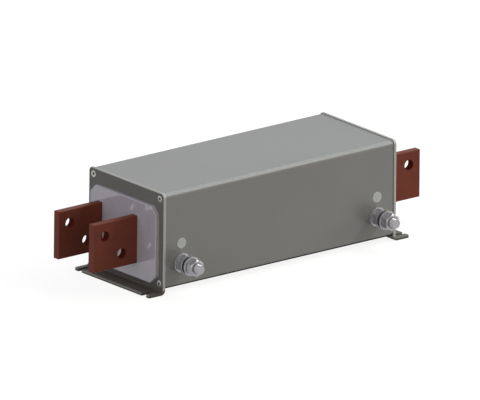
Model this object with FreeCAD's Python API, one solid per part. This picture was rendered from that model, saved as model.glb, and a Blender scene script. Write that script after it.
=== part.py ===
import FreeCAD, Part
import math
import os

# Frame: X runs along the case, the earth studs stand out towards -Y, and z = 0 is the underside of the feet

# Case, over the outer faces of both end covers
case_length = 300.0
case_width = 120.0
sleeve_height = 100.5
sleeve_wall = 2.0
sleeve_bend_radius = 4.0
sleeve_edge_break = 0.3
cover_lip = 0.9

# End covers, each folded outwards into a foot with two open slots
cover_thickness = 3.0
cover_edge_round = 0.6
fold_inner_radius = 2.0
foot_reach = 18.4
toe_edge_round = 1.2
slot_width = 6.0
slot_inset = 9.5
slot_depth = 13.7

# Countersunk cover screws and the tie rods that they screw into
screw_inset_side = 7.0
screw_inset_height = 5.8
cover_screw_diameter = 4.0
cover_screw_head_diameter = 7.4
cover_screw_length = 12.0
cover_screw_socket = 2.5
cover_screw_socket_depth = 1.5
rod_diameter = 7.0
rod_thread_depth = 14.0

# Bus bars, straight through the case
bar_height = 50.0
bar_thickness = 8.0
bar_spacing = 56.0
bar_offset = 9.0
bar_drop = 4.55
bar_overhang = 60.0
bar_edge_round = 0.8
terminal_hole_diameter = 11.0
terminal_hole_inset = 14.0
terminal_hole_pitch = 22.0

# Terminal insulators, moulded in one piece with a flange behind the cover and a collar on each bar
insulator_proud = 4.5
insulator_side_margin = 7.5
insulator_floor_margin = 5.0
insulator_screw_gap = 1.9
insulator_corner_round = 4.0
insulator_edge_round = 0.8
flange_thickness = 5.0
collar_length = 12.0
collar_wall = 3.0

# Earth bolts, put in from inside, with their nuts and washers
earth_inset = 24.0
earth_rise = 25.0
earth_diameter = 10.0
earth_length = 35.0
earth_tip_chamfer = 0.5
earth_head_height = 6.4
earth_hex = 16.0
earth_nut_height = 8.4
earth_washer_diameter = 20.0
earth_washer_thickness = 2.0
earth_lug_gap = 3.0
earth_nut_turn = 30.0
earth_mark_diameter = 11.2
earth_mark_thickness = 0.3
earth_mark_rise = 20.5

# Insulating liner sheets inside the sleeve
liner_thickness = 0.8
liner_rod_gap = 1.0

# Choke cores in cases, round both bars
choke_count = 3
choke_wall = 1.5
choke_window_gap = 3.0
choke_window_radius = 6.0
choke_board_gap = 8.0

# Filter boards above the bars
board_length = 74.0
board_thickness = 1.6
board_end_gap = 6.0
board_margin = 3.0
board_standoff = 4.0
board_screw_inset = 12.0
board_screw_diameter = 4.0
board_screw_length = 14.0
board_screw_head_diameter = 7.6
board_screw_head_height = 2.2
board_screw_head_round = 0.7
board_screw_socket = 2.5
board_screw_socket_depth = 1.1
spacer_diameter = 8.0

# Capacitors under the boards and the resistor on the left board
x_capacitor_length = 42.0
x_capacitor_width = 30.0
x_capacitor_height = 42.0
x_capacitor_pin_pitch = 37.5
y_capacitor_length = 18.0
y_capacitor_width = 12.0
y_capacitor_height = 16.0
y_capacitor_pin_pitch = 15.0
y_capacitor_spacing = 16.0
capacitor_gap = 2.0
capacitor_edge_inset = 3.0
capacitor_edge_round = 1.0
pin_diameter = 1.0
pin_reach = 3.0
resistor_diameter = 6.0
resistor_length = 20.0
resistor_lead_run = 4.0

# Earth straps from the bolts up to the boards
strap_width = 16.0
strap_thickness = 1.5
strap_bend_radius = 1.5
strap_foot_drop = 9.0
strap_overlap = 14.0
link_screw_length = 10.0
link_nut_hex = 7.0
link_nut_height = 3.2

# Hexagons, with their corners turned off at both faces
hex_face_share = 0.95
hex_turning_angle = 30.0

# Clearances
fit_gap = 0.2
thread_gap = 0.05
screw_hole_gap = 0.25
rod_gap = 1.0

# How near counts as touching, when edges are picked
touch = 0.001

# Places worked out from the sizes above
half_length = case_length / 2
half_width = case_width / 2
inner_half_length = half_length - cover_thickness
sleeve_half_width = half_width - cover_lip
inner_half_width = sleeve_half_width - sleeve_wall
sleeve_floor = cover_thickness + fold_inner_radius
sleeve_top = sleeve_floor + sleeve_height
cover_top = sleeve_top + cover_lip
inner_floor = sleeve_floor + sleeve_wall
inner_top = sleeve_top - sleeve_wall
liner_floor = inner_floor + liner_thickness
liner_half_width = inner_half_width - liner_thickness

rod_y = half_width - screw_inset_side
rod_low_z = sleeve_floor + screw_inset_height
rod_high_z = sleeve_top - screw_inset_height
rod_corners = {
    "front_bottom": (-rod_y, rod_low_z),
    "front_top": (-rod_y, rod_high_z),
    "rear_bottom": (rod_y, rod_low_z),
    "rear_top": (rod_y, rod_high_z),
}

bar_half_length = half_length + bar_overhang
bar_centre_height = sleeve_floor + sleeve_height / 2 - bar_drop
bar_bottom = bar_centre_height - bar_height / 2
bar_top = bar_centre_height + bar_height / 2
bar_middles = {
    "front": bar_offset - bar_spacing / 2,
    "rear": bar_offset + bar_spacing / 2,
}
bar_group_half_width = bar_spacing / 2 + bar_thickness / 2

flange_inner_x = inner_half_length - flange_thickness
board_outer_x = flange_inner_x - board_end_gap
board_inner_x = board_outer_x - board_length
board_middle_x = (board_outer_x + board_inner_x) / 2
board_bottom = bar_top + board_standoff
board_top = board_bottom + board_thickness
choke_length = 2 * (board_inner_x - choke_board_gap) / choke_count

earth_x = half_length - earth_inset
earth_z = sleeve_floor + earth_rise
strap_face_y = -inner_half_width + strap_thickness
strap_end_y = -inner_half_width + strap_overlap + board_margin
board_front_y = strap_end_y - strap_overlap
board_rear_y = bar_offset + bar_group_half_width + board_margin
link_y = board_front_y + strap_overlap / 2


def box(x0, x1, y0, y1, z0, z1):
    """A box between two corners."""
    return Part.makeBox(x1 - x0, y1 - y0, z1 - z0, FreeCAD.Vector(x0, y0, z0))


def cylinder(x, y, z, radius, length, direction):
    """A cylinder that starts at a point and runs along a direction."""
    return Part.makeCylinder(radius, length, FreeCAD.Vector(x, y, z), FreeCAD.Vector(*direction))


def long_edges(shape, axis):
    """The straight edges of a shape that run along X, Y or Z."""
    found = []
    for edge in shape.Edges:
        size = (edge.BoundBox.XLength, edge.BoundBox.YLength, edge.BoundBox.ZLength)
        if size["XYZ".index(axis)] > edge.Length - touch:
            found.append(edge)
    return found


def rounded_box(x0, x1, y0, y1, z0, z1, radius, axis="X"):
    """A box with its four edges along one axis rounded."""
    shape = box(x0, x1, y0, y1, z0, z1)
    return shape.makeFillet(radius, long_edges(shape, axis))


def chamfered_box(x0, x1, y0, y1, z0, z1, corner_cut):
    """A box with its four edges along X cut off flat."""
    shape = box(x0, x1, y0, y1, z0, z1)
    return shape.makeChamfer(corner_cut, long_edges(shape, "X"))


def mirrored(shape):
    """The same piece at the other end of the case."""
    return shape.mirror(FreeCAD.Vector(0, 0, 0), FreeCAD.Vector(1, 0, 0))


def hexagon(across_flats, height, turn=0.0):
    """A hexagonal bar along +Z from the origin, with two flats facing Y at no turn."""
    corner = across_flats / 2 / math.cos(math.pi / 6)
    points = []
    for step in range(7):
        angle = math.radians(60 * step + turn)
        points.append(FreeCAD.Vector(corner * math.cos(angle), corner * math.sin(angle), 0))
    return Part.Face(Part.makePolygon(points)).extrude(FreeCAD.Vector(0, 0, height))


def chamfered_hexagon(across_flats, height, turn=0.0):
    """A hexagon whose corners are turned off at both ends."""
    face = across_flats / 2 * hex_face_share
    reach = face + height / 2 / math.tan(math.radians(hex_turning_angle))
    lower = Part.makeCone(face, reach, height / 2).common(hexagon(across_flats, height / 2, turn))
    upper = lower.mirror(FreeCAD.Vector(0, 0, height / 2), FreeCAD.Vector(0, 0, 1))
    return lower.fuse(upper).removeSplitter()


def stud(diameter, length, tip_chamfer):
    """A threaded shank along +Z from the origin, with a chamfer at its far end."""
    shank = Part.makeCylinder(diameter / 2, length - tip_chamfer)
    tip = Part.makeCone(diameter / 2, diameter / 2 - tip_chamfer, tip_chamfer,
                        FreeCAD.Vector(0, 0, length - tip_chamfer))
    return shank.fuse(tip).removeSplitter()


def facing(shape, x, y, z, direction):
    """A piece drawn along +Z, turned to a direction and put in its place."""
    turn = FreeCAD.Rotation(FreeCAD.Vector(0, 0, 1), FreeCAD.Vector(*direction))
    shape.Placement = FreeCAD.Placement(FreeCAD.Vector(x, y, z), turn)
    return shape


def corner_cut_past_rod(block_half_width, block_bottom, reach):
    """The 45 degree corner cut that keeps a block's corner a given reach from a lower tie rod's axis."""
    return block_half_width - block_bottom - (rod_y - rod_low_z) + math.sqrt(2) * reach


def case_sleeve():
    """The folded and welded sheet sleeve, with a hole for each earth bolt."""
    outer = rounded_box(-inner_half_length, inner_half_length, -sleeve_half_width, sleeve_half_width,
                        sleeve_floor, sleeve_top, sleeve_bend_radius)
    end_edges = [edge for edge in outer.Edges if edge.BoundBox.XLength < 0.001]
    outer = outer.makeChamfer(sleeve_edge_break, end_edges)
    hollow = rounded_box(-half_length, half_length, -inner_half_width, inner_half_width,
                         inner_floor, inner_top, sleeve_bend_radius - sleeve_wall)
    sleeve = outer.cut(hollow)
    for x in (-earth_x, earth_x):
        sleeve = sleeve.cut(cylinder(x, -sleeve_half_width, earth_z, earth_diameter / 2 + screw_hole_gap,
                                     sleeve_wall, (0, 1, 0)))
    return sleeve


def cover_blank():
    """The left cover's sheet: an upright face folded outwards at the bottom into the foot."""
    outside = -half_length
    inside = -inner_half_length
    toe = outside - foot_reach
    fold_x = outside - fold_inner_radius
    fold_z = sleeve_floor
    fold_outer_radius = fold_inner_radius + cover_thickness
    slant = math.sqrt(0.5)

    def point(x, z):
        return FreeCAD.Vector(x, -half_width, z)

    def fold_arc(start, radius, end):
        middle = point(fold_x + slant * radius, fold_z - slant * radius)
        return Part.Arc(start, middle, end).toShape()

    edges = [
        Part.makeLine(point(outside, cover_top), point(outside, fold_z)),
        fold_arc(point(outside, fold_z), fold_inner_radius, point(fold_x, cover_thickness)),
        Part.makeLine(point(fold_x, cover_thickness), point(toe, cover_thickness)),
        Part.makeLine(point(toe, cover_thickness), point(toe, 0)),
        Part.makeLine(point(toe, 0), point(fold_x, 0)),
        fold_arc(point(fold_x, 0), fold_outer_radius, point(inside, fold_z)),
        Part.makeLine(point(inside, fold_z), point(inside, cover_top)),
        Part.makeLine(point(inside, cover_top), point(outside, cover_top)),
    ]
    sheet = Part.Face(Part.Wire(edges)).extrude(FreeCAD.Vector(0, case_width, 0))
    top_corners = [edge for edge in long_edges(sheet, "X") if edge.BoundBox.ZMin > cover_top - touch]
    sheet = sheet.makeFillet(sleeve_bend_radius + cover_lip, top_corners)
    toe_edges = [edge for edge in long_edges(sheet, "Y") if edge.BoundBox.XMax < toe + touch]
    return sheet.makeFillet(toe_edge_round, toe_edges)


def round_cover_rim(sheet):
    """The blank with the rim of its outer face rounded, as a stamped and brushed sheet is."""
    rim = []
    for edge in sheet.Edges:
        bounds = edge.BoundBox
        on_face = abs(bounds.XMin + half_length) < touch and abs(bounds.XMax + half_length) < touch
        if on_face and bounds.ZMax > sleeve_floor + touch:
            rim.append(edge)
    return sheet.makeFillet(cover_edge_round, rim)


def end_cover():
    """The left cover, with its window, its countersunk screw holes and the open slots in its foot."""
    cover = round_cover_rim(cover_blank())
    cover = cover.cut(insulator_face(-half_length, -inner_half_length, fit_gap))
    head_radius = cover_screw_head_diameter / 2
    hole_radius = cover_screw_diameter / 2 + screw_hole_gap
    for y, z in rod_corners.values():
        sink = Part.makeCone(head_radius, hole_radius, head_radius - hole_radius,
                             FreeCAD.Vector(-half_length, y, z), FreeCAD.Vector(1, 0, 0))
        hole = cylinder(-half_length, y, z, hole_radius, cover_thickness, (1, 0, 0))
        cover = cover.cut(sink).cut(hole)
    toe = -half_length - foot_reach
    slot_end = toe + slot_depth - slot_width / 2
    tip_radius = (slot_inset - slot_width / 2) / 2
    for side in (-1, 1):
        y = side * (half_width - slot_inset)
        slot = box(toe, slot_end, y - slot_width / 2, y + slot_width / 2, 0, cover_thickness)
        slot_round = cylinder(slot_end, y, 0, slot_width / 2, cover_thickness, (0, 0, 1))
        tip_y = side * (half_width - tip_radius)
        tip = box(toe, toe + tip_radius, tip_y - tip_radius, tip_y + tip_radius, 0, cover_thickness)
        tip_round = cylinder(toe + tip_radius, tip_y, 0, tip_radius, cover_thickness, (0, 0, 1))
        cover = cover.cut(slot).cut(slot_round).cut(tip.cut(tip_round))
    return cover


def cover_screws():
    """The four countersunk socket screws of the left cover, flush with its outer face."""
    head_radius = cover_screw_head_diameter / 2 - thread_gap
    shank_radius = cover_screw_diameter / 2
    screws = []
    for y, z in rod_corners.values():
        head = Part.makeCone(head_radius, shank_radius, head_radius - shank_radius)
        shank = Part.makeCylinder(shank_radius, cover_screw_length)
        socket = hexagon(cover_screw_socket, cover_screw_socket_depth)
        screw = head.fuse(shank).removeSplitter().cut(socket)
        screws.append(facing(screw, -half_length, y, z, (1, 0, 0)))
    return Part.makeCompound(screws)


def tie_rod(y, z):
    """A round rod from cover to cover, tapped at both ends."""
    rod = cylinder(-inner_half_length, y, z, rod_diameter / 2, 2 * inner_half_length, (1, 0, 0))
    thread_radius = cover_screw_diameter / 2 + thread_gap
    rod = rod.cut(cylinder(-inner_half_length, y, z, thread_radius, rod_thread_depth, (1, 0, 0)))
    return rod.cut(cylinder(inner_half_length, y, z, thread_radius, rod_thread_depth, (-1, 0, 0)))


def insulator_face(x0, x1, gap):
    """The raised face of the left insulator between two planes, grown all round by a gap."""
    face_half_width = half_width - insulator_side_margin
    face_bottom = sleeve_floor + insulator_floor_margin
    face_top = 2 * bar_centre_height - face_bottom
    reach = cover_screw_head_diameter / 2 + insulator_screw_gap
    cut = corner_cut_past_rod(face_half_width, face_bottom, reach)
    block = chamfered_box(x0, x1, -face_half_width - gap, face_half_width + gap,
                          face_bottom - gap, face_top + gap, cut + gap * (2 - math.sqrt(2)))
    return block.makeFillet(insulator_corner_round + gap, long_edges(block, "X"))


def terminal_insulator():
    """The left insulator: raised face, flange behind the cover, and a collar round each bar."""
    front_x = -half_length - insulator_proud
    raised = insulator_face(front_x, -inner_half_length, 0.0)
    rim = [edge for edge in raised.Edges if edge.BoundBox.XMax < front_x + touch]
    raised = raised.makeFillet(insulator_edge_round, rim)
    flange_half_width = liner_half_width - fit_gap
    flange_bottom = liner_floor + fit_gap
    flange_top = 2 * bar_centre_height - flange_bottom
    cut = corner_cut_past_rod(flange_half_width, flange_bottom, rod_diameter / 2 + fit_gap)
    flange = chamfered_box(-inner_half_length, -flange_inner_x, -flange_half_width, flange_half_width,
                           flange_bottom, flange_top, cut)
    body = raised.fuse(flange)
    grip = fit_gap + collar_wall
    for y in bar_middles.values():
        collar = rounded_box(-flange_inner_x, -flange_inner_x + collar_length,
                             y - bar_thickness / 2 - grip, y + bar_thickness / 2 + grip,
                             bar_bottom - grip, bar_top + grip, grip)
        body = body.fuse(collar)
    for y in bar_middles.values():
        slot = rounded_box(front_x, -flange_inner_x + collar_length,
                           y - bar_thickness / 2 - fit_gap, y + bar_thickness / 2 + fit_gap,
                           bar_bottom - fit_gap, bar_top + fit_gap, bar_edge_round + fit_gap)
        body = body.cut(slot)
    return body.removeSplitter()


def bus_bar(y):
    """A flat bar with two terminal holes on a diagonal at each end, tapped on top for the boards."""
    bar = rounded_box(-bar_half_length, bar_half_length, y - bar_thickness / 2, y + bar_thickness / 2,
                      bar_bottom, bar_top, bar_edge_round)
    for end in (-1, 1):
        for step in (0, terminal_hole_pitch):
            x = end * (bar_half_length - terminal_hole_inset - step)
            z = bar_top - terminal_hole_inset - step
            bar = bar.cut(cylinder(x, y - bar_thickness / 2, z, terminal_hole_diameter / 2,
                                   bar_thickness, (0, 1, 0)))
        for x in board_screw_places():
            bar = bar.cut(cylinder(end * x, y, bar_top, board_screw_diameter / 2 + thread_gap,
                                   board_screw_length - board_standoff, (0, 0, -1)))
    return bar


def earth_stack():
    """Where each piece on an earth bolt starts, outwards from the case's front."""
    places = {"base_washer": sleeve_half_width}
    places["fixing_nut"] = places["base_washer"] + earth_washer_thickness
    places["inner_lug_washer"] = places["fixing_nut"] + earth_nut_height
    places["outer_lug_washer"] = places["inner_lug_washer"] + earth_washer_thickness + earth_lug_gap
    places["terminal_nut"] = places["outer_lug_washer"] + earth_washer_thickness
    return places


def earth_bolt(x):
    """A hexagon bolt whose head clamps the earth strap to the inside of the sleeve."""
    head = chamfered_hexagon(earth_hex, earth_head_height, earth_nut_turn)
    shank = stud(earth_diameter, earth_length, earth_tip_chamfer)
    head = facing(head, x, strap_face_y + earth_head_height, earth_z, (0, -1, 0))
    shank = facing(shank, x, strap_face_y, earth_z, (0, -1, 0))
    return head.fuse(shank).removeSplitter()


def earth_washer(x, start):
    """A flat washer on an earth bolt."""
    washer = Part.makeCylinder(earth_washer_diameter / 2, earth_washer_thickness)
    hole = Part.makeCylinder(earth_diameter / 2 + screw_hole_gap, earth_washer_thickness)
    return facing(washer.cut(hole), x, -start, earth_z, (0, -1, 0))


def earth_nut(x, start):
    """A hexagon nut on an earth bolt."""
    nut = chamfered_hexagon(earth_hex, earth_nut_height, earth_nut_turn)
    hole = Part.makeCylinder(earth_diameter / 2 + thread_gap, earth_nut_height)
    return facing(nut.cut(hole), x, -start, earth_z, (0, -1, 0))


def earth_mark(x):
    """A thin round disc on the case above an earth bolt."""
    return cylinder(x, -sleeve_half_width, earth_z + earth_mark_rise, earth_mark_diameter / 2,
                    earth_mark_thickness, (0, -1, 0))


def liner_sheets():
    """The insulating sheets on the four inner walls, each between the tie rods."""
    side = rod_y - rod_diameter / 2 - liner_rod_gap
    low = rod_low_z + rod_diameter / 2 + liner_rod_gap
    high = rod_high_z - rod_diameter / 2 - liner_rod_gap
    long = inner_half_length
    short = earth_x - strap_width / 2 - capacitor_gap
    return {
        "bottom": box(-long, long, -side, side, inner_floor, liner_floor),
        "top": box(-long, long, -side, side, inner_top - liner_thickness, inner_top),
        "rear": box(-long, long, liner_half_width, inner_half_width, low, high),
        "front": box(-short, short, -inner_half_width, -liner_half_width, low, high),
    }


def choke_corner_radius():
    """The radius that keeps the choke cases' lower rear corner clear of the tie rod there."""
    over = liner_half_width - rod_y
    up = rod_low_z - liner_floor
    reach = rod_diameter / 2 + rod_gap
    total = over + up + reach
    return total + math.sqrt(total * total - over * over - up * up + reach * reach)


def choke_ring(x0, x1, outer_inset, window_growth):
    """A frame round both bars, inset from the choke case's outside and wider than its window."""
    half_outer_y = liner_half_width - bar_offset - outer_inset
    half_outer_z = bar_centre_height - liner_floor - outer_inset
    half_window_y = bar_group_half_width + choke_window_gap + window_growth
    half_window_z = bar_height / 2 + choke_window_gap + window_growth
    outer = rounded_box(x0, x1, bar_offset - half_outer_y, bar_offset + half_outer_y,
                        bar_centre_height - half_outer_z, bar_centre_height + half_outer_z,
                        choke_corner_radius() - outer_inset)
    window = rounded_box(x0, x1, bar_offset - half_window_y, bar_offset + half_window_y,
                         bar_centre_height - half_window_z, bar_centre_height + half_window_z,
                         choke_window_radius + window_growth)
    return outer.cut(window)


def choke_parts(index):
    """One choke: its pressed core, the case that holds the core, and the case's lid."""
    x0 = (index - choke_count / 2) * choke_length
    x1 = x0 + choke_length
    lid_x = x1 - choke_wall
    room = choke_ring(x0 + choke_wall, lid_x, choke_wall, choke_wall)
    case = choke_ring(x0, lid_x, 0.0, 0.0).cut(room)
    lid = choke_ring(lid_x, x1, 0.0, 0.0)
    core = choke_ring(x0 + choke_wall, lid_x, choke_wall + fit_gap, choke_wall + fit_gap)
    return {"core": core, "case": case, "lid": lid}


def board_screw_places():
    """How far from the middle of the case the board screws stand, along the bars."""
    return (board_inner_x + board_screw_inset, board_outer_x - board_screw_inset)


def capacitor_places():
    """The middle of the large capacitor and of the small pair along the case, at the right end."""
    large = board_inner_x + capacitor_edge_inset + x_capacitor_length / 2
    small = large + x_capacitor_length / 2 + capacitor_gap + y_capacitor_length / 2
    return large, small


def small_capacitor_middles():
    """The middles of the two small capacitors across the case."""
    return {
        "front": bar_offset - y_capacitor_spacing / 2,
        "rear": bar_offset + y_capacitor_spacing / 2,
    }


def pin_places():
    """Every capacitor pin through the right board, as (x, y)."""
    large, small = capacitor_places()
    places = [(large + side * x_capacitor_pin_pitch / 2, bar_offset) for side in (-1, 1)]
    for y in small_capacitor_middles().values():
        places += [(small + side * y_capacitor_pin_pitch / 2, y) for side in (-1, 1)]
    return places


def resistor_pin_places():
    """The two holes for the resistor's leads, between the front bar and the large capacitor."""
    reach = resistor_length / 2 + resistor_lead_run
    bar_side = bar_middles["front"] + bar_thickness / 2
    capacitor_side = bar_offset - x_capacitor_width / 2
    y = (bar_side + capacitor_side) / 2
    return [(board_middle_x + side * reach, y) for side in (-1, 1)]


def filter_board():
    """The right board, with its screw holes and pin holes."""
    board = box(board_inner_x, board_outer_x, board_front_y, board_rear_y, board_bottom, board_top)
    hole_radius = board_screw_diameter / 2 + screw_hole_gap
    for x in board_screw_places():
        for y in bar_middles.values():
            board = board.cut(cylinder(x, y, board_bottom, hole_radius, board_thickness, (0, 0, 1)))
    board = board.cut(cylinder(earth_x, link_y, board_bottom, hole_radius, board_thickness, (0, 0, 1)))
    pin_hole_radius = pin_diameter / 2 + fit_gap
    for x, y in pin_places() + resistor_pin_places():
        board = board.cut(cylinder(x, y, board_bottom, pin_hole_radius, board_thickness, (0, 0, 1)))
    return board


def pan_screw(x, y, z, length):
    """A pan head screw whose head seats at z, pointing down."""
    head = Part.makeCylinder(board_screw_head_diameter / 2, board_screw_head_height)
    rim = [edge for edge in head.Edges if edge.BoundBox.ZMin > board_screw_head_height - touch]
    head = head.makeFillet(board_screw_head_round, rim)
    socket = hexagon(board_screw_socket, board_screw_socket_depth)
    socket.translate(FreeCAD.Vector(0, 0, board_screw_head_height - board_screw_socket_depth))
    shank = Part.makeCylinder(board_screw_diameter / 2, length, FreeCAD.Vector(0, 0, -length))
    return facing(head.cut(socket).fuse(shank).removeSplitter(), x, y, z, (0, 0, 1))


def board_screws():
    """The four screws of the right board, through it and its spacers into the bars."""
    screws = []
    for x in board_screw_places():
        for y in bar_middles.values():
            screws.append(pan_screw(x, y, board_top, board_screw_length))
    return Part.makeCompound(screws)


def board_spacers():
    """The four round spacers between the right board and the bars."""
    spacers = []
    bore_radius = board_screw_diameter / 2 + screw_hole_gap
    for x in board_screw_places():
        for y in bar_middles.values():
            tube = cylinder(x, y, bar_top, spacer_diameter / 2, board_standoff, (0, 0, 1))
            bore = cylinder(x, y, bar_top, bore_radius, board_standoff, (0, 0, 1))
            spacers.append(tube.cut(bore))
    return Part.makeCompound(spacers)


def capacitor(x, y, length, width, height, pin_pitch):
    """A moulded film capacitor under the right board, with its two pins up through the board."""
    body = rounded_box(x - length / 2, x + length / 2, y - width / 2, y + width / 2,
                       board_bottom - height, board_bottom, capacitor_edge_round, "Z")
    for side in (-1, 1):
        pin = cylinder(x + side * pin_pitch / 2, y, board_bottom - pin_diameter, pin_diameter / 2,
                       pin_diameter + pin_reach, (0, 0, 1))
        body = body.fuse(pin)
    return body.removeSplitter()


def discharge_resistor():
    """The wire-ended resistor on the right board, before it is mirrored to the left one."""
    z = board_top + resistor_diameter / 2
    start = board_middle_x - resistor_length / 2
    places = resistor_pin_places()
    body = cylinder(start, places[0][1], z, resistor_diameter / 2, resistor_length, (1, 0, 0))
    for x, y in places:
        run = x - board_middle_x
        lead = cylinder(board_middle_x, y, z, pin_diameter / 2, abs(run), (math.copysign(1, run), 0, 0))
        drop = cylinder(x, y, z, pin_diameter / 2, z - board_bottom + pin_diameter, (0, 0, -1))
        knee = Part.makeSphere(pin_diameter / 2, FreeCAD.Vector(x, y, z))
        body = body.fuse(lead).fuse(drop).fuse(knee)
    return body.removeSplitter()


def earth_strap():
    """The right strap: up the inside of the sleeve from the earth bolt, then in under the board."""
    x0 = earth_x - strap_width / 2
    x1 = earth_x + strap_width / 2
    upright = box(x0, x1, -inner_half_width, strap_face_y, earth_z - strap_foot_drop, board_bottom)
    arm = box(x0, x1, -inner_half_width, strap_end_y, board_bottom - strap_thickness, board_bottom)
    strap = upright.fuse(arm).removeSplitter()
    outer_bend = [edge for edge in long_edges(strap, "X")
                  if edge.BoundBox.YMax < -inner_half_width + touch
                  and edge.BoundBox.ZMin > board_bottom - touch]
    strap = strap.makeFillet(strap_bend_radius + strap_thickness, outer_bend)
    inner_bend = [edge for edge in long_edges(strap, "X")
                  if abs(edge.BoundBox.YMax - strap_face_y) < touch
                  and abs(edge.BoundBox.ZMin - board_bottom + strap_thickness) < touch]
    strap = strap.makeFillet(strap_bend_radius, inner_bend)
    strap = strap.cut(cylinder(earth_x, -inner_half_width, earth_z, earth_diameter / 2 + screw_hole_gap,
                               strap_thickness, (0, 1, 0)))
    return strap.cut(cylinder(earth_x, link_y, board_bottom, board_screw_diameter / 2 + screw_hole_gap,
                              strap_thickness, (0, 0, -1)))


def link_nut():
    """The nut under the right strap's arm."""
    nut = chamfered_hexagon(link_nut_hex, link_nut_height)
    nut = nut.cut(Part.makeCylinder(board_screw_diameter / 2 + thread_gap, link_nut_height))
    return facing(nut, earth_x, link_y, board_bottom - strap_thickness - link_nut_height, (0, 0, 1))


def pair(nodes, name, right):
    """Both ends' copies of a piece that is drawn at the right end."""
    nodes[name + "_left"] = mirrored(right)
    nodes[name + "_right"] = right


def all_nodes():
    """Every piece, by the name of its node."""
    nodes = {"case_sleeve": case_sleeve()}
    pair(nodes, "end_cover", mirrored(end_cover()))
    pair(nodes, "terminal_insulator", mirrored(terminal_insulator()))
    pair(nodes, "cover_screws", mirrored(cover_screws()))
    for place, (y, z) in rod_corners.items():
        nodes["tie_rod_" + place] = tie_rod(y, z)
    for place, y in bar_middles.items():
        nodes["bus_bar_" + place] = bus_bar(y)

    stack = earth_stack()
    pair(nodes, "earth_bolt", earth_bolt(earth_x))
    pair(nodes, "earth_mark", earth_mark(earth_x))
    for name in ("base_washer", "inner_lug_washer", "outer_lug_washer"):
        pair(nodes, "earth_" + name, earth_washer(earth_x, stack[name]))
    for name in ("fixing_nut", "terminal_nut"):
        pair(nodes, "earth_" + name, earth_nut(earth_x, stack[name]))

    for place, sheet in liner_sheets().items():
        nodes["liner_" + place] = sheet
    for index in range(choke_count):
        for name, shape in choke_parts(index).items():
            nodes["choke_%s_%d" % (name, index + 1)] = shape

    pair(nodes, "filter_board", filter_board())
    pair(nodes, "board_spacers", board_spacers())
    pair(nodes, "board_screws", board_screws())
    large_x, small_x = capacitor_places()
    pair(nodes, "line_capacitor", capacitor(large_x, bar_offset, x_capacitor_length, x_capacitor_width,
                                            x_capacitor_height, x_capacitor_pin_pitch))
    for place, y in small_capacitor_middles().items():
        small = capacitor(small_x, y, y_capacitor_length, y_capacitor_width,
                          y_capacitor_height, y_capacitor_pin_pitch)
        pair(nodes, "earth_capacitor_" + place, small)
    nodes["discharge_resistor"] = mirrored(discharge_resistor())

    pair(nodes, "earth_strap", earth_strap())
    link_screw = pan_screw(earth_x, link_y, board_top, link_screw_length)
    nodes["link_screws"] = Part.makeCompound([mirrored(link_screw), link_screw])
    nodes["link_nuts"] = Part.makeCompound([mirrored(link_nut()), link_nut()])
    return nodes


os.makedirs("parts", exist_ok=True)
for node, shape in all_nodes().items():
    shape.exportStep("parts/" + node + ".step")
    print(node, len(shape.Solids), round(shape.Volume, 1), shape.isValid())
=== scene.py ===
import math

import bpy
import numpy as np
from mathutils import Matrix, Vector


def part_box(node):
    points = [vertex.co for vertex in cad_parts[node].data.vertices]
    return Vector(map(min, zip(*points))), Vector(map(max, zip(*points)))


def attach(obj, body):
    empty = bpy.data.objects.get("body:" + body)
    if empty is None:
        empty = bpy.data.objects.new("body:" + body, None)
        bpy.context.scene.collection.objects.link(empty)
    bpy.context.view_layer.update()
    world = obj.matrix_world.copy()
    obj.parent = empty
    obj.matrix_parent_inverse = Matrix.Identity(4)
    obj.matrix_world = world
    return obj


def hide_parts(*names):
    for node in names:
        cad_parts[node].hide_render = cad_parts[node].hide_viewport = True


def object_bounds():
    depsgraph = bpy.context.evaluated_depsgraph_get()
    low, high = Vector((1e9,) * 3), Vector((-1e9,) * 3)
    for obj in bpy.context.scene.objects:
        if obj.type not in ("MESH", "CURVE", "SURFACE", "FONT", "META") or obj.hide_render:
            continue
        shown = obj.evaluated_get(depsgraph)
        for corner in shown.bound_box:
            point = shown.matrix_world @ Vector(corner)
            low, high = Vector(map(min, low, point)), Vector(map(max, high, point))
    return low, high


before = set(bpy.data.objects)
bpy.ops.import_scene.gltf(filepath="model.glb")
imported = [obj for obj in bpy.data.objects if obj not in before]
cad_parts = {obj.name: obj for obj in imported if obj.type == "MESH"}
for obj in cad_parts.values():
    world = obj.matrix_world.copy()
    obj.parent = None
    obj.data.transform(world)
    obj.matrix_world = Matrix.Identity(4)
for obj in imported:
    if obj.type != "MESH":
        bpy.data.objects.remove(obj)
cad_low, cad_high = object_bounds()


# Case sleeve. One steel sheet, folded round four bends and welded underneath, open at both ends, where the
# covers close it. It is sprayed with grey lacquer outside, and its lower bend and underside carry a painted
# shade. The holes for the earth bolts lie under their washers.

def linear(hex_colour):
    """An sRGB hex colour as linear red, green, blue and full alpha: a share up to 0.04045 over 12.92, and any
    other as (share + 0.055) / 1.055 to the power 2.4."""
    srgb = np.array([int(hex_colour[i:i + 2], 16) for i in (1, 3, 5)]) / 255
    return [*np.where(srgb <= 0.04045, srgb / 12.92, ((srgb + 0.055) / 1.055) ** 2.4), 1.0]


def add_node(tree, kind, inputs=(), **settings):
    """A shader node with its settings. Each input is a plain value, or a link from another node's output."""
    made = tree.nodes.new(kind)
    for name, value in settings.items():
        setattr(made, name, value)
    for name, value in dict(inputs).items():
        if isinstance(value, bpy.types.NodeSocket):
            tree.links.new(value, made.inputs[name])
        else:
            made.inputs[name].default_value = value
    return made


evenly = (1, 1, 1)  # the stretch of a pattern that runs the same way along each axis


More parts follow.
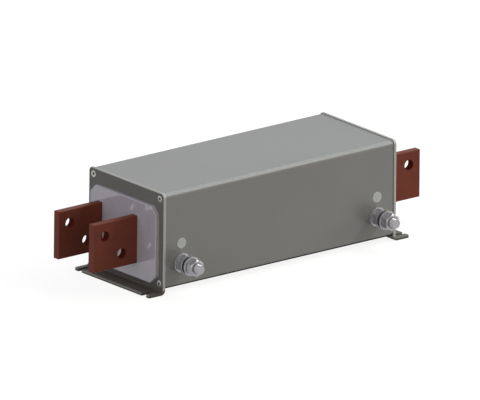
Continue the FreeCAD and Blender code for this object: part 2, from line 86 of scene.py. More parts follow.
def new_finish(name, *noises):
    """An empty node material, and one pattern for each (size, detail, stretch): noise on the object's own
    metres, about as wide as the size, and longer along an axis whose stretch is under 1."""
    material = bpy.data.materials.new(name)
    material.use_nodes = True
    tree = material.node_tree
    tree.nodes.clear()
    place = add_node(tree, "ShaderNodeTexCoord")
    patterns = []
    for size, detail, stretch in noises:
        stretched = add_node(tree, "ShaderNodeMapping", {"Vector": place.outputs["Object"], "Scale": stretch})
        noise = add_node(tree, "ShaderNodeTexNoise",
                         {"Vector": stretched.outputs["Vector"], "Scale": 1 / size, "Detail": detail})
        patterns.append(noise.outputs["Fac"])
    return material, patterns


# A Mix node has the names of its colour sockets twice, so they are called by their places.
mix_below, mix_above, mix_result = 6, 7, 2


def shader_of(material):
    """A material's one Principled shader."""
    return next(node for node in material.node_tree.nodes if node.type == "BSDF_PRINCIPLED")


def lay_over(material, amount, start, full, colour):
    """Mixes a hex colour over the base colour: none of it where the amount is at start, all of it where the
    amount is at full, and in proportion between them."""
    tree, base = material.node_tree, shader_of(material).inputs["Base Color"]
    below = base.links[0].from_socket if base.links else base.default_value
    share = add_node(tree, "ShaderNodeMapRange", {"Value": amount, "From Min": start, "From Max": full})
    mix = add_node(tree, "ShaderNodeMix", {"Factor": share.outputs["Result"], mix_below: below,
                                           mix_above: linear(colour)}, data_type="RGBA")
    tree.links.new(mix.outputs[mix_result], base)


def add_surface(material, dark, light, colour_by, roughness, roughness_by, height, depth, fixed=(),
                colour_span=(0.3, 0.7)):
    """The shader of a finish. Its colour goes from dark to light as colour_by goes over its span, and its
    roughness from low to high as roughness_by goes from 0 to 1. Its bump is a height from 0 to 1 times a
    depth in metres. The fixed inputs are the same all over."""
    tree = material.node_tree
    rough = add_node(tree, "ShaderNodeMapRange",
                     {"Value": roughness_by, "To Min": roughness[0], "To Max": roughness[1]})
    bump = add_node(tree, "ShaderNodeBump", {"Height": height, "Distance": depth, "Strength": 1.0})
    shader = add_node(tree, "ShaderNodeBsdfPrincipled",
                      {"Base Color": linear(dark), "Roughness": rough.outputs["Result"],
                       "Normal": bump.outputs["Normal"], **dict(fixed)})
    add_node(tree, "ShaderNodeOutputMaterial", {"Surface": shader.outputs["BSDF"]})
    lay_over(material, colour_by, *colour_span, light)


def lacquered_steel(name, dark, light, roughness, specular=0.5):
    """Lacquer on sheet: even colour and roughness with faint clouds 111 mm wide, and an orange peel of about
    1.5 mm, 0.02 mm deep."""
    material, (clouds, peel) = new_finish(name, (0.1111, 2.0, evenly), (0.0015, 1.0, evenly))
    add_surface(material, dark, light, clouds, (roughness - 0.03, roughness + 0.03), clouds, peel, 0.00002,
                {"IOR": 1.64, "Specular IOR Level": specular})
    return material


corner_steps, flat_support = 10, 0.0005


def rounded_section(half_width, low, high, radius):
    """Points round a rectangle in Y and Z with round corners: each corner is an arc about its own centre,
    with one more point a little way along the flat on either side, which keeps the flats flat."""
    centres = np.array([(half_width - radius, high - radius), (-half_width + radius, high - radius),
                        (-half_width + radius, low + radius), (half_width - radius, low + radius)])
    turn = np.linspace(0, math.pi / 2, corner_steps + 1)
    angle = np.array([0, 1, 2, 3])[:, None] * math.pi / 2 + turn
    arc = centres[:, None] + radius * np.stack([np.cos(angle), np.sin(angle)], -1)
    tangent = np.stack([-np.sin(angle), np.cos(angle)], -1)
    before = arc[:, :1] - flat_support * tangent[:, :1]
    after = arc[:, -1:] + flat_support * tangent[:, -1:]
    return np.concatenate([before, arc, after], 1).reshape(-1, 2)


def grid_faces(rows, columns, wrap_rows):
    """Quads between neighbouring points of a grid whose columns close into rings."""
    row, column = np.meshgrid(np.arange(rows if wrap_rows else rows - 1), np.arange(columns), indexing="ij")
    next_row, next_column = (row + 1) % rows, (column + 1) % columns
    corners = [row * columns + column, row * columns + next_column,
               next_row * columns + next_column, next_row * columns + column]
    return np.stack(corners, -1).reshape(-1, 4)


sharp_angle = math.radians(28)


def new_piece(name, points, face_blocks, material, slot, nodes, second=None, takes_second=None):
    """A mesh from points in metres and blocks of faces, each block an array with a row of indices a face.
    It is smooth but for its sharp edges, rides on the root body and stands for the nodes named, which it
    hides.
    The slot is not used. Faces take the second material where takes_second, a function of their centres, is
    true."""
    mesh = bpy.data.meshes.new(name)
    mesh.from_pydata(np.reshape(points, (-1, 3)).tolist(), [],
                     [face for block in face_blocks for face in block.tolist()])
    mesh.validate()
    mesh.polygons.foreach_set("use_smooth", np.ones(len(mesh.polygons), bool))
    mesh.set_sharp_from_angle(angle=sharp_angle)
    mesh.materials.append(material)
    if second:
        centres = np.zeros(len(mesh.polygons) * 3)
        mesh.polygons.foreach_get("center", centres)
        mesh.materials.append(second)
        mesh.polygons.foreach_set("material_index", takes_second(centres.reshape(-1, 3)).astype(np.int32))
    piece = bpy.data.objects.new(name, mesh)
    bpy.context.scene.collection.objects.link(piece)
    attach(piece, "root")
    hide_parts(*nodes)
    return piece


sleeve_low, sleeve_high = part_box("case_sleeve")
# The bends are 0.8 mm wider than the solid's, so that the light on them makes a line as wide as the real one.
sleeve_wall, sleeve_bend, sleeve_break = 0.002, 0.0048, 0.0001
# The painted shade covers the sleeve below this height, about half way up its lower bend.
painted_shade_top = sleeve_low.z + 0.48 * sleeve_bend

# Sprayed satin lacquer: it blurs every reflection, yet draws a clear light line along each bend.
satin_lacquer = lacquered_steel("satin_lacquered_sheet", "#898a8b", "#8f9091", 0.31)
# Painted shade: nearly black and without gloss, a dark line along the lower bend and under the case.
underside_shade = lacquered_steel("sleeve_underside_painted_shade", "#3a3937", "#403f3d", 0.6, 0.0)

sleeve_rings = []
for x, inset in ((sleeve_low.x, sleeve_break), (sleeve_low.x + sleeve_break, 0.0),
                 (sleeve_high.x - sleeve_break, 0.0), (sleeve_high.x, sleeve_break),
                 (sleeve_high.x, sleeve_wall), (sleeve_low.x, sleeve_wall)):
    section = rounded_section(sleeve_high.y - inset, sleeve_low.z + inset, sleeve_high.z - inset,
                              sleeve_bend - inset)
    sleeve_rings.append(np.column_stack([np.full(len(section), x), section]))
new_piece("folded_case_sleeve", sleeve_rings,
          [grid_faces(len(sleeve_rings), len(sleeve_rings[0]), True)[:, ::-1]],
          satin_lacquer, "case_grey", ["case_sleeve"],
          underside_shade, lambda centres: centres[:, 2] < painted_shade_top)


# End covers. Laser-cut sheet steel, folded outwards at the bottom into a foot, and held by four screws each.
# The sheet is blasted and lacquered. Its rim and the upper arris of its toe carry a painted highlight, and
# the rim is partly metallic; its lower part and foot carry a painted shade, darker on the left foot than on
# the right.

def welded_copy(node):
    """A CAD node's own points and triangles, with points at one place, to the micrometre, made into one."""
    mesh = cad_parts[node].data
    points = np.zeros(len(mesh.vertices) * 3, np.float32)
    mesh.vertices.foreach_get("co", points)
    corners = np.zeros(len(mesh.loops), np.int32)
    mesh.loops.foreach_get("vertex_index", corners)
    points = points.reshape(-1, 3).astype(float)
    _, first, place = np.unique(np.round(points, 6), axis=0, return_index=True, return_inverse=True)
    triangles = place.reshape(-1)[corners].reshape(-1, 3)
    kept = ((triangles[:, 0] != triangles[:, 1]) & (triangles[:, 1] != triangles[:, 2])
            & (triangles[:, 2] != triangles[:, 0]))
    return points[first], triangles[kept]


def dressed_copy(node, material, slot, second=None, takes_second=None):
    """A welded copy of a CAD node that stands for it, with normals weighted by face area,
    so that flats stay flat and bends turn smoothly."""
    points, triangles = welded_copy(node)
    piece = new_piece(node + "_dressed", points, [triangles], material, slot, [node], second, takes_second)
    weighted = piece.modifiers.new("face_area_normals", "WEIGHTED_NORMAL")
    weighted.keep_sharp = True


def object_axes(tree):
    """The object's own X, Y and Z in metres, apart."""
    place = add_node(tree, "ShaderNodeTexCoord")
    return add_node(tree, "ShaderNodeSeparateXYZ", {"Vector": place.outputs["Object"]}).outputs


def reach_past(tree, axes, middle_y, middle_z):
    """How far a point lies past a rectangle's middle part, in Y and Z: with a = max(|y| - middle_y, 0) and
    b = max(z - middle_z, 0), the root of a squared plus b squared."""
    across = add_node(tree, "ShaderNodeMath", {0: axes["Y"]}, operation="ABSOLUTE")
    past = []
    for value, middle in ((across.outputs["Value"], middle_y), (axes["Z"], middle_z)):
        beyond = add_node(tree, "ShaderNodeMath", {0: value, 1: middle}, operation="SUBTRACT")
        past.append(add_node(tree, "ShaderNodeMath", {0: beyond.outputs["Value"], 1: 0.0},
                             operation="MAXIMUM").outputs["Value"])
    pair = add_node(tree, "ShaderNodeCombineXYZ", {"X": past[0], "Y": past[1]})
    return add_node(tree, "ShaderNodeVectorMath", {0: pair.outputs["Vector"]},
                    operation="LENGTH").outputs["Value"]


cover_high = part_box("end_cover_left")[1]
cover_corner = 0.0049
# Bands in metres: the rim's painted highlight past the corners' centres, then heights above the floor for the
# painted shade over the fold, the fold itself and the toe's cut edge, and |x| and the height for the arris's
# painted highlight.
rim_inside, rim_outside, rim_metal = 0.78 * cover_corner, 0.88 * cover_corner, 0.4
shade_top, shade_bottom = 0.016, 0.004
fold_top, fold_bottom = 0.0055, 0.0035
toe_edge_top, toe_edge_bottom = 0.0018, 0.0012
arris_inside, arris_outside = 0.1667, 0.1671
arris_bottom, arris_top = 0.0018, 0.0023


def cover_lacquer(side, foot_painted_shade, toe_edge_painted_shade):
    """Lacquer on blasted sheet, matt and grey. By height a painted shade darkens it towards the fold, is dark
    below it, and has its own painted shade on the toe's cut edge. The rim is a band of reach_past with a
    painted highlight, partly metallic above the fold. The arris, with a painted highlight, is the band where
    |x| is near the toe's end, times z between the arris's bottom and top."""
    lacquer = lacquered_steel("blasted_lacquer_painted_light_" + side, "#868482", "#8c8a88", 0.5, 0.1)
    tree = lacquer.node_tree
    axes = object_axes(tree)
    # Painted shade: darker towards the foot.
    lay_over(lacquer, axes["Z"], shade_top, shade_bottom, foot_painted_shade)
    rim_reach = reach_past(tree, axes, cover_high.y - cover_corner, cover_high.z - cover_corner)
    # Painted highlight: a lighter rim.
    lay_over(lacquer, rim_reach, rim_inside, rim_outside, "#b6b6b3")
    rim = add_node(tree, "ShaderNodeMapRange", {"Value": rim_reach, "From Min": rim_inside,
                                                "From Max": rim_outside, "To Max": rim_metal})
    above_fold = add_node(tree, "ShaderNodeMapRange",
                          {"Value": axes["Z"], "From Min": fold_bottom, "From Max": fold_top})
    rim_metal_share = add_node(tree, "ShaderNodeMath",
                          {0: rim.outputs["Result"], 1: above_fold.outputs["Result"]}, operation="MULTIPLY")
    tree.links.new(rim_metal_share.outputs["Value"], shader_of(lacquer).inputs["Metallic"])
    # Painted shade: dark below the fold.
    lay_over(lacquer, axes["Z"], fold_top, fold_bottom, foot_painted_shade)
    # Painted shade on the toe's cut edge.
    lay_over(lacquer, axes["Z"], toe_edge_top, toe_edge_bottom, toe_edge_painted_shade)
    outwards = add_node(tree, "ShaderNodeMath", {0: axes["X"]}, operation="ABSOLUTE")
    at_toe = add_node(tree, "ShaderNodeMapRange", {"Value": outwards.outputs["Value"],
                                                   "From Min": arris_inside, "From Max": arris_outside})
    arris = add_node(tree, "ShaderNodeMath", {0: at_toe.outputs["Result"], 1: axes["Z"]},
                     operation="MULTIPLY")
    # Painted highlight along the toe's upper arris.
    lay_over(lacquer, arris.outputs["Value"], arris_bottom, arris_top, "#b4b2ae")
    return lacquer


# Matt lacquer over blasting hardly reflects; the rim and arris get a painted highlight, and the foot a
# painted shade that is darkest on the left.
for side, foot_painted_shade, toe_edge_painted_shade in (("left", "#6c6966", "#6c6966"), ("right", "#8d8d8b", "#555453")):
    dressed_copy("end_cover_" + side, cover_lacquer(side, foot_painted_shade, toe_edge_painted_shade), "case_grey")


# Terminal insulators. Each is moulded in one piece from glass-filled polyamide, and stands up through an
# opening in its cover, with a slot for each bar.

def moulded_plastic(name, dark, light, roughness, ior=1.5):
    """Moulded plastic: close colour and roughness with a mottling of about 12 mm, and a grain of about 1 mm,
    0.004 mm deep."""
    material, (mottling, grain) = new_finish(name, (0.012, 2.0, evenly), (0.001, 1.0, evenly))
    add_surface(material, dark, light, mottling, (roughness * 0.8, roughness * 1.2), mottling, grain,
                0.000004, {"IOR": ior})
    return material


# Mauve-grey polyamide from a polished tool: glossy enough to mirror the bars, with a faint flow mottling.
glossy_polyamide = moulded_plastic("glossy_grey_polyamide", "#d6d4e2", "#dddbe8", 0.06, 1.6)
for side in ("left", "right"):
    dressed_copy("terminal_insulator_" + side, glossy_polyamide, "insulator_grey")


# Bus bars. Flat rolled copper, 8 mm thick, that runs through the case from end to end.
# Each end is drilled twice for cable lugs, and the edges are broken.

def oxidised_copper(name, dark, light, roughness):
    """Oxidised rolled copper: streaks 0.4 mm wide, 25 times as long and 0.008 mm deep, and patches of 20 mm.
    The colour goes by 0.4 of the streaks plus 0.6 of the patches. The real streaks are finer than this, and
    are drawn as coarse as they need to show."""
    material, (streaks, patches) = new_finish(name, (0.0004, 2.0, (0.04, 1, 1)), (0.02, 3.0, evenly))
    tree = material.node_tree
    patch_share = add_node(tree, "ShaderNodeMath", {0: patches, 1: 0.6}, operation="MULTIPLY")
    both = add_node(tree, "ShaderNodeMath", {0: streaks, 1: 0.4, 2: patch_share.outputs["Value"]},
                    operation="MULTIPLY_ADD")
    add_surface(material, dark, light, both.outputs["Value"], (roughness - 0.06, roughness + 0.06), streaks,
                streaks, 0.000008, {"Metallic": 0.15, "Specular IOR Level": 0.1})
    return material


bore_places, bore_radius = np.array([(0.196, 0.0617), (0.174, 0.0397)]), 0.0055
bore_reach = 1.01 * bore_radius


def inside_bores(centres):
    """True within a bore's reach of its axis, which runs along Y at (|x|, z)."""
    flat = np.column_stack([np.abs(centres[:, 0]), centres[:, 2]])
    return np.linalg.norm(flat[:, None] - bore_places, axis=-1).min(1) < bore_reach


# Bare copper left to oxidise: dark brown-red and nearly dull, with rolling streaks along the bar.
bar_copper = oxidised_copper("oxidised_rolled_copper", "#7a4033", "#864838", 0.5)
# Drilled copper: the same oxide on a rough wall, with a painted shade that makes it darker and redder.
bore_painted_shade_copper = oxidised_copper("drilled_copper_painted_shade", "#68261b", "#702b1f", 0.8)
for place in ("front", "rear"):
    # The bores take the painted shade.
    dressed_copy("bus_bar_" + place, bar_copper, "bar_copper", bore_painted_shade_copper, inside_bores)


# Cover screws. Countersunk socket screws of stainless steel, four to a cover, driven flush into tie rods.
# Their heads are turned and polished, and the hexagonal sockets are broached.

def turned_metal(name, dark, light, roughness):
    """Turned or rolled metal: clouds about 3 mm wide, and tool marks of 0.4 mm, 0.006 mm deep, drawn coarser
    than the real ones so that they show."""
    material, (clouds, marks) = new_finish(name, (0.003, 3.0, evenly), (0.0004, 1.0, evenly))
    add_surface(material, dark, light, clouds, (roughness - 0.05, roughness + 0.05), clouds, marks, 0.000006,
                {"Metallic": 0.42})
    return material


def ring_angles(columns):
    """Evenly spaced angles round a full turn."""
    return np.arange(columns) * 2 * math.pi / columns


def hexagon_radius(across_flats, angle, turn=0.0):
    """A hexagon's radius at each angle: half the width over flats, over the cosine to the nearest flat."""
    from_flat = (angle - turn + math.pi / 6) % (math.pi / 3) - math.pi / 6
    return across_flats / 2 / np.cos(from_flat)


def turned_points(rows, angle, base, direction):
    """Points round an axis, from rows of (radius, distance), each a number or one value an angle: the base,
    plus the radius times the ring's direction at that angle, plus the distance times the axis's."""
    along = np.array(direction, float)
    side = np.array((0.0, 0.0, 1.0))
    other = np.cross(along, side)
    ring = np.cos(angle)[:, None] * side + np.sin(angle)[:, None] * other
    radius, distance = np.array([[np.broadcast_to(value, angle.shape) for value in row]
                                 for row in rows]).swapaxes(0, 1)[..., None]
    return np.array(base, float) + radius * ring + distance * along


def turned_ring(rows, angle, base, direction):
    """Points and faces of a ring with a bore, whose last row joins its first."""
    return turned_points(rows, angle, base, direction), [grid_faces(len(rows), len(angle), True)]


def turned_solid(rows, angle, base, direction):
    """Points and faces of a closed turned piece: quads between its rings, and a fan at each end to the first
    and the last row, which are points on the axis."""
    count, rings = len(angle), len(rows) - 2
    points = turned_points(rows[1:-1], angle, base, direction).reshape(-1, 3)
    ends = turned_points([rows[0], rows[-1]], angle[:1], base, direction).reshape(-1, 3)
    here = np.arange(count)
    after = (here + 1) % count
    top = (rings - 1) * count
    first_fan = np.column_stack([after, here, np.full(count, rings * count)])
    last_fan = np.column_stack([top + here, top + after, np.full(count, rings * count + 1)])
    return np.concatenate([points, ends]), [grid_faces(rings, count, False), first_fan, last_fan]


def repeated(points, face_blocks, places):
    """A solid once at each place: every point plus the place, and every index plus the number of points in
    the copies before."""
    before = len(points) * np.arange(len(places))[:, None, None]
    return places[:, None] + points, [(block + before).reshape(-1, block.shape[1]) for block in face_blocks]


screw_radius, screw_head_radius, screw_length, screw_tip_chamfer = 0.002, 0.00365, 0.012, 0.0005
head_edge_width, head_edge_fall = 0.0003, 0.00012
socket_width, socket_depth, socket_break = 0.0025, 0.0015, 0.0002
socket_reach, socket_start = 0.6 * socket_width, 0.00015


def inside_sockets(centres, places):
    """True where a face lies nearer to a screw's axis than the socket's reach, and below the screw's face."""
    from_axis = np.linalg.norm(centres[:, None, 1:] - places[:, 1:], axis=-1).min(1)
    return (from_axis < socket_reach) & (np.abs(centres[:, 0] - places[0, 0]) > socket_start)


# Polished stainless steel: a neutral bright ring round each socket.
polished_steel = turned_metal("polished_stainless_steel", "#c2c2c1", "#cccccb", 0.25)
# Painted shade in the broached sockets: dark steel, so each socket reads as a dark pit.
socket_painted_shade = turned_metal("broached_socket_painted_shade", "#232325", "#2b2b2d", 0.5)

screw_angle = ring_angles(48)
socket_radius = hexagon_radius(socket_width, screw_angle)
screw_rows = [(0.0, socket_depth), (socket_radius, socket_depth), (socket_radius, socket_break),
              (socket_radius + socket_break, 0.0), (screw_head_radius - head_edge_width, 0.0),
              (screw_head_radius, head_edge_fall), (screw_radius, screw_head_radius - screw_radius),
              (screw_radius, screw_length - screw_tip_chamfer),
              (screw_radius - screw_tip_chamfer, screw_length), (0.0, screw_length)]
for side, outwards in (("left", -1), ("right", 1)):
    low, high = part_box("cover_screws_" + side)
    face = low.x if outwards < 0 else high.x
    places = np.array([(face, y, z) for y in (low.y + screw_head_radius, high.y - screw_head_radius)
                       for z in (low.z + screw_head_radius, high.z - screw_head_radius)])
    screw = turned_solid(screw_rows, screw_angle, (0, 0, 0), (-outwards, 0, 0))
    # The sockets take the painted shade.
    new_piece("cover_screws_" + side + "_dressed", *repeated(*screw, places), polished_steel, "zinc_hardware",
              ["cover_screws_" + side], socket_painted_shade, lambda centres: inside_sockets(centres, places))


# Earth bolts with their washers and nuts. Steel hexagon bolts put in from inside the case, with a
# fixing nut against the wall and a terminal nut that clamps a lug between two washers.
# All are zinc plated; the thread is rolled with a pitch of 1.5 mm.

stud_radius, stud_tip_chamfer, head_height = 0.005, 0.0005, 0.0064
stud_pitch, thread_depth, thread_flank, rows_a_pitch = 0.0015, 0.0009, 0.4, 10
hex_width, hex_face_share, hex_turning = 0.016, 0.95, math.radians(30)
nut_bore, nut_sink = 0.00505, 0.0004
washer_bore, washer_radius, washer_round = 0.00525, 0.01, 0.00035
washer_round_middle = 0.3 * washer_round
# How far a painted shade reaches on a nut from its wall side, and on an inner lug washer from its face in the
# gap.
# nut_shade_reach, washer_shade_reach = 0.0006, 0.00002
nut_shade_reach, washer_shade_reach = 0.0006, 0.00002

# Bright passivated zinc: a light metal with a cool lavender tinge and soft clouds.
bright_zinc = turned_metal("bright_zinc_plate", "#b4b3bb", "#c0bfc5", 0.22)
# Painted shade on the zinc in the thread, the lug gap and against the wall: dull and dark, so the nuts stand
# apart.
zinc_painted_shade = turned_metal("zinc_plate_painted_shade", "#68676c", "#717075", 0.4)
ring, out = ring_angles(96), (0, -1, 0)


def hexagon_rows(height):
    """Rows up a hexagon whose corners are turned off: the cone meets each flat in a curve."""
    flat = hexagon_radius(hex_width, ring, math.pi / 6)
    face = hex_width / 2 * hex_face_share
    fall = (flat - face) * math.tan(hex_turning)
    return [(face, 0.0), (flat, fall), (flat, height - fall), (face, height)]


def thread_rows(start, end):
    """Rows along the stud. Its crests wind up by one pitch a turn: at each angle the radius dips by the
    thread's depth over a flank, as a share of the pitch. The last part tapers to the tip."""
    distance = np.arange(start, end, stud_pitch / rows_a_pitch)[:, None]
    phase = (distance / stud_pitch - ring / (2 * math.pi)) % 1.0
    dip = np.clip((0.5 - np.abs(phase - 0.5)) / thread_flank, 0.0, 1.0)
    tip_radius = stud_radius - stud_tip_chamfer
    radius = np.minimum(stud_radius - thread_depth * dip, tip_radius + (end - distance))
    return [*zip(radius, distance), (tip_radius, end)]


for side in ("left", "right"):
    low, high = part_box("earth_bolt_" + side)
    middle_x, middle_z, bolt_length = (low.x + high.x) / 2, (low.z + high.z) / 2, high.y - low.y
    bolt_rows = [(0.0, 0.0), *hexagon_rows(head_height), *thread_rows(head_height, bolt_length),
                 (0.0, bolt_length)]
    bolt = turned_solid(bolt_rows, ring, (middle_x, high.y, middle_z), out)
    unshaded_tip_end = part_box("earth_terminal_nut_" + side)[0].y
    # Painted shade on the bolt from the terminal nut inwards.
    new_piece("earth_bolt_" + side + "_dressed", *bolt, bright_zinc, "zinc_hardware", ["earth_bolt_" + side],
              zinc_painted_shade, lambda centres: centres[:, 1] > unshaded_tip_end)
    for node in ("earth_fixing_nut_" + side, "earth_terminal_nut_" + side):
        near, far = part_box(node)
        height = far.y - near.y
        nut_rows = [(nut_bore, nut_sink), (nut_bore + nut_sink, 0.0), *hexagon_rows(height),
                    (nut_bore + nut_sink, height), (nut_bore, height - nut_sink)]
        nut = turned_ring(nut_rows, ring, (middle_x, far.y, middle_z), out)
        # Painted shade on the nut's wall side.
        new_piece(node + "_dressed", *nut, bright_zinc, "zinc_hardware", [node],
                  zinc_painted_shade, lambda centres: centres[:, 1] > far.y - nut_shade_reach)
    for node in ("earth_base_washer_" + side, "earth_inner_lug_washer_" + side,
                 "earth_outer_lug_washer_" + side):
        near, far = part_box(node)
        thick = far.y - near.y
        washer_rows = [(washer_bore, 0.0), (washer_radius - washer_round, 0.0),
                       (washer_radius - washer_round_middle, washer_round_middle),
                       (washer_radius, washer_round), (washer_radius, thick - washer_round),
                       (washer_radius - washer_round_middle, thick - washer_round_middle),
                       (washer_radius - washer_round, thick), (washer_bore, thick)]
        washer = turned_ring(washer_rows, ring, (middle_x, far.y, middle_z), out)
        # Painted shade on the inner lug washer's face in the gap, none on the other washers.
        shaded_end = near.y + washer_shade_reach if "inner_lug" in node else cad_low.y
        new_piece(node + "_dressed", *washer, bright_zinc, "zinc_hardware", [node],
                  zinc_painted_shade, lambda centres: centres[:, 1] < shaded_end)


# Marker discs. Punched from light grey plastic film, and glued to the case above each earth bolt.
# The punch leaves a thin rounded edge.

def marker_film(name, dark, light, centre_x, centre_z, radius):
    """Plastic film whose colour goes from the middle to a lighter rim, by the distance of (|x|, z) from its
    centre over its radius, with a grain of 0.8 mm."""
    material, (grain,) = new_finish(name, (0.0008, 2.0, evenly))
    tree = material.node_tree
    axes = object_axes(tree)
    across = add_node(tree, "ShaderNodeMath", {0: axes["X"]}, operation="ABSOLUTE")
    flat = add_node(tree, "ShaderNodeCombineXYZ", {"X": across.outputs["Value"], "Z": axes["Z"]})
    distance = add_node(tree, "ShaderNodeVectorMath",
                        {0: flat.outputs["Vector"], 1: (centre_x, 0, centre_z)}, operation="DISTANCE")
    share = add_node(tree, "ShaderNodeMath", {0: distance.outputs["Value"], 1: radius}, operation="DIVIDE")
    add_surface(material, dark, light, share.outputs["Value"], (0.45, 0.6), grain, grain, 0.00001,
                colour_span=(0.45, 0.8))
    return material


low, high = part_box("earth_mark_right")
mark_radius, mark_round = (high.x - low.x) / 2, 0.0001
# Matt grey film: an even pale spot, a little lighter along its rim.
grey_film = marker_film("grey_marker_film", "#d5dae2", "#dbe0e7", (low.x + high.x) / 2, (low.z + high.z) / 2,
                        mark_radius)
for side in ("left", "right"):
    low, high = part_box("earth_mark_" + side)
    thick = high.y - low.y
    mark_rows = [(0.0, 0.0), (mark_radius, 0.0), (mark_radius, thick - mark_round),
                 (mark_radius - mark_round, thick), (0.0, thick)]
    disc = turned_solid(mark_rows, ring, ((low.x + high.x) / 2, high.y, (low.z + high.z) / 2), out)
    new_piece("earth_mark_" + side + "_dressed", *disc, grey_film, "mark_disc", ["earth_mark_" + side])


# Inside the case, sealed from view: tie rods and liner sheets, three chokes round the bars, and two boards
# with their capacitors, resistor and earth straps. Each CAD node stays and gets its own plain finish.

def dress_nodes(starts, material):
    """Gives the CAD nodes whose names start so their material."""
    for name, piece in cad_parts.items():
        if name.startswith(starts) and not piece.hide_render:
            piece.data.materials.clear()
            piece.data.materials.append(material)


# Rods, posts and small screws: zinc plated like the earth hardware, light and cool.
dress_nodes(("tie_rod", "board_spacers", "board_screws", "link_"), bright_zinc)

for starts, make, name, dark, light, roughness in (
        # Pressed aramid board: matt, the cream of the natural fibre.
        (("liner_",), moulded_plastic, "natural_aramid_board", "#c9c0a4", "#d4ccb3", 0.6),
        # Wound magnetic ribbon: dark grey metal with a soft shine.
        (("choke_core",), turned_metal, "wound_magnetic_ribbon", "#4a4c50", "#5a5c60", 0.35),
        # Moulded black polyamide: satin, nearly without colour.
        (("choke_case", "choke_lid"), moulded_plastic, "black_polyamide", "#18181a", "#202022", 0.4),
        # Green glass laminate: smooth resin over the weave.
        (("filter_board",), moulded_plastic, "green_glass_laminate", "#2c4a2c", "#355535", 0.35),
        # Capacitor cases filled with resin: blue grey with a low gloss.
        (("line_capacitor", "earth_capacitor"), moulded_plastic, "blue_grey_capacitor_case", "#4a5468",
         "#535d72", 0.3),
        # Cement coating on a wire-wound resistor: chalky green.
        (("discharge_resistor",), moulded_plastic, "green_cement_coating", "#66786e", "#728479", 0.6),
        # Tinned copper strip: warm pale metal.
        (("earth_strap",), turned_metal, "tinned_copper_strip", "#a8a49c", "#b6b2aa", 0.35)):
    dress_nodes(starts, make(name, dark, light, roughness))


# Studio. A pale floor that shows white to the camera and in reflections and keeps the shadow, and a white
# room. Two long strip lamps from the upper right give the bends their light line, and soft square lamps from
# the front, the left end and the right lighten the sides.

def strength_by_ray(tree, on_object, when_seen):
    """One strength for the light that falls on the object, and another for camera, glossy and transmission
    rays: the greatest of the three, which is 0 or 1, goes from the first to the second."""
    path = add_node(tree, "ShaderNodeLightPath")
    seen = path.outputs["Is Camera Ray"]
    for ray in ("Is Glossy Ray", "Is Transmission Ray"):
        seen = add_node(tree, "ShaderNodeMath", {0: seen, 1: path.outputs[ray]},
                        operation="MAXIMUM").outputs["Value"]
    return add_node(tree, "ShaderNodeMapRange",
                    {"Value": seen, "To Min": on_object, "To Max": when_seen}).outputs["Result"]


floor_half, floor_glow = 5.0, 0.88
floor_material = bpy.data.materials.new("pale_studio_floor")
floor_material.use_nodes = True
floor_tree = floor_material.node_tree
floor_tree.nodes.clear()
floor_diffuse = add_node(floor_tree, "ShaderNodeBsdfDiffuse", {"Color": linear("#8f8f8f")})
floor_light = add_node(floor_tree, "ShaderNodeEmission",
                       {"Strength": strength_by_ray(floor_tree, 0.0, floor_glow)})
floor_sum = add_node(floor_tree, "ShaderNodeAddShader", {0: floor_diffuse.outputs["BSDF"],
                                                         1: floor_light.outputs["Emission"]})
add_node(floor_tree, "ShaderNodeOutputMaterial", {"Surface": floor_sum.outputs["Shader"]})

floor_mesh = bpy.data.meshes.new("studio_floor")
floor_mesh.from_pydata([(-floor_half, -floor_half, 0), (floor_half, -floor_half, 0),
                        (floor_half, floor_half, 0), (-floor_half, floor_half, 0)], [], [(0, 1, 2, 3)])
floor_mesh.materials.append(floor_material)
floor = bpy.data.objects.new("studio_floor", floor_mesh)
bpy.context.scene.collection.objects.link(floor)

room_level = 0.27
world = bpy.data.worlds.new("white_room")
bpy.context.scene.world = world
world.use_nodes = True
room_tree = world.node_tree
room_tree.nodes.clear()
room_light = add_node(room_tree, "ShaderNodeBackground",
                      {"Strength": strength_by_ray(room_tree, room_level, 1.0), "Color": (1, 1, 1, 1)})
add_node(room_tree, "ShaderNodeOutputWorld", {"Surface": room_light.outputs["Background"]})

case_middle = Vector((0, 0, 0.05))


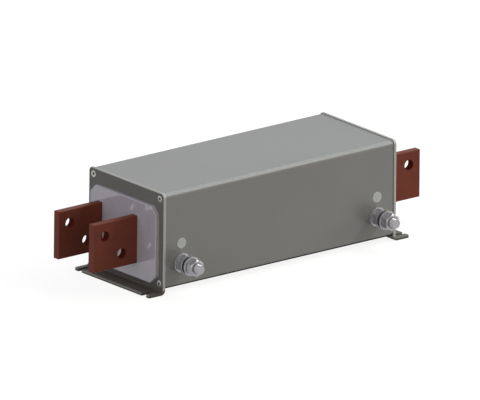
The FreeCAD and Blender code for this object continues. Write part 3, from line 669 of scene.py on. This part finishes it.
def soft_lamp(name, place, size, power, colour, length=None, along=(0, 0, 1)):
    """An area lamp that looks at the middle of the case: square, or a strip of a length along a direction."""
    lamp = bpy.data.lights.new(name, "AREA")
    lamp.shape, lamp.size, lamp.size_y = "RECTANGLE", size, length or size
    lamp.energy, lamp.color = power, colour
    holder = bpy.data.objects.new(name, lamp)
    bpy.context.scene.collection.objects.link(holder)
    towards = (Vector(place) - case_middle).normalized()
    across = Vector(along).cross(towards).normalized()
    holder.matrix_world = (Matrix.Translation(place)
                           @ Matrix((across, towards.cross(across), towards)).transposed().to_4x4())


soft_lamp("key_lamp", (2.44, -1.71, 2.76), 0.56, 46.0, (0.98, 0.99, 0.94), 3.1, (0, 0.85, 0.53))
soft_lamp("overhead_lamp", (2.43, 1.05, 3.1), 0.5, 22.5, (0.8, 0.92, 0.92), 3.0, (0, -0.95, 0.31))
soft_lamp("front_lamp", (-0.8, -2.1, 0.7), 1.0, 3.0, (1.0, 0.74, 0.3))
soft_lamp("side_lamp", (-1.98, -0.1, 0.3), 1.0, 4.0, (0.92, 0.96, 1.0))
soft_lamp("edge_lamp", (2.96, -1.36, 0.53), 0.96, 16.0, (1.0, 0.83, 0.58))


# Camera. Parallel projection, fitted by least squares to the edges of the object in the photograph:
# its three angles, the point that it looks at, and its scale in pixels a metre.

azimuth, elevation, roll = math.radians(-39.0494), math.radians(17.6643), math.radians(0.6002)
middle_right, middle_up, stand_back = -0.001907, 0.05399, 2.0
pixels_across, pixels_a_metre = 480, 996.1

right = Vector((math.cos(azimuth), math.sin(azimuth), 0))
back = Vector((math.sin(azimuth) * math.cos(elevation), -math.cos(azimuth) * math.cos(elevation),
               math.sin(elevation)))
up = back.cross(right)
image_right = math.cos(roll) * right + math.sin(roll) * up
image_up = -math.sin(roll) * right + math.cos(roll) * up
view = bpy.data.cameras.new("photo_camera")
view.type = "ORTHO"
view.ortho_scale = pixels_across / pixels_a_metre
view.clip_start, view.clip_end = 0.01, 20.0
camera = bpy.data.objects.new("photo_camera", view)
bpy.context.scene.collection.objects.link(camera)
stand = middle_right * image_right + middle_up * image_up + stand_back * back
camera.matrix_world = (Matrix.Translation(stand)
                       @ Matrix((image_right, image_up, back)).transposed().to_4x4())
bpy.context.scene.camera = camera
bpy.context.scene.view_settings.view_transform = "Standard"
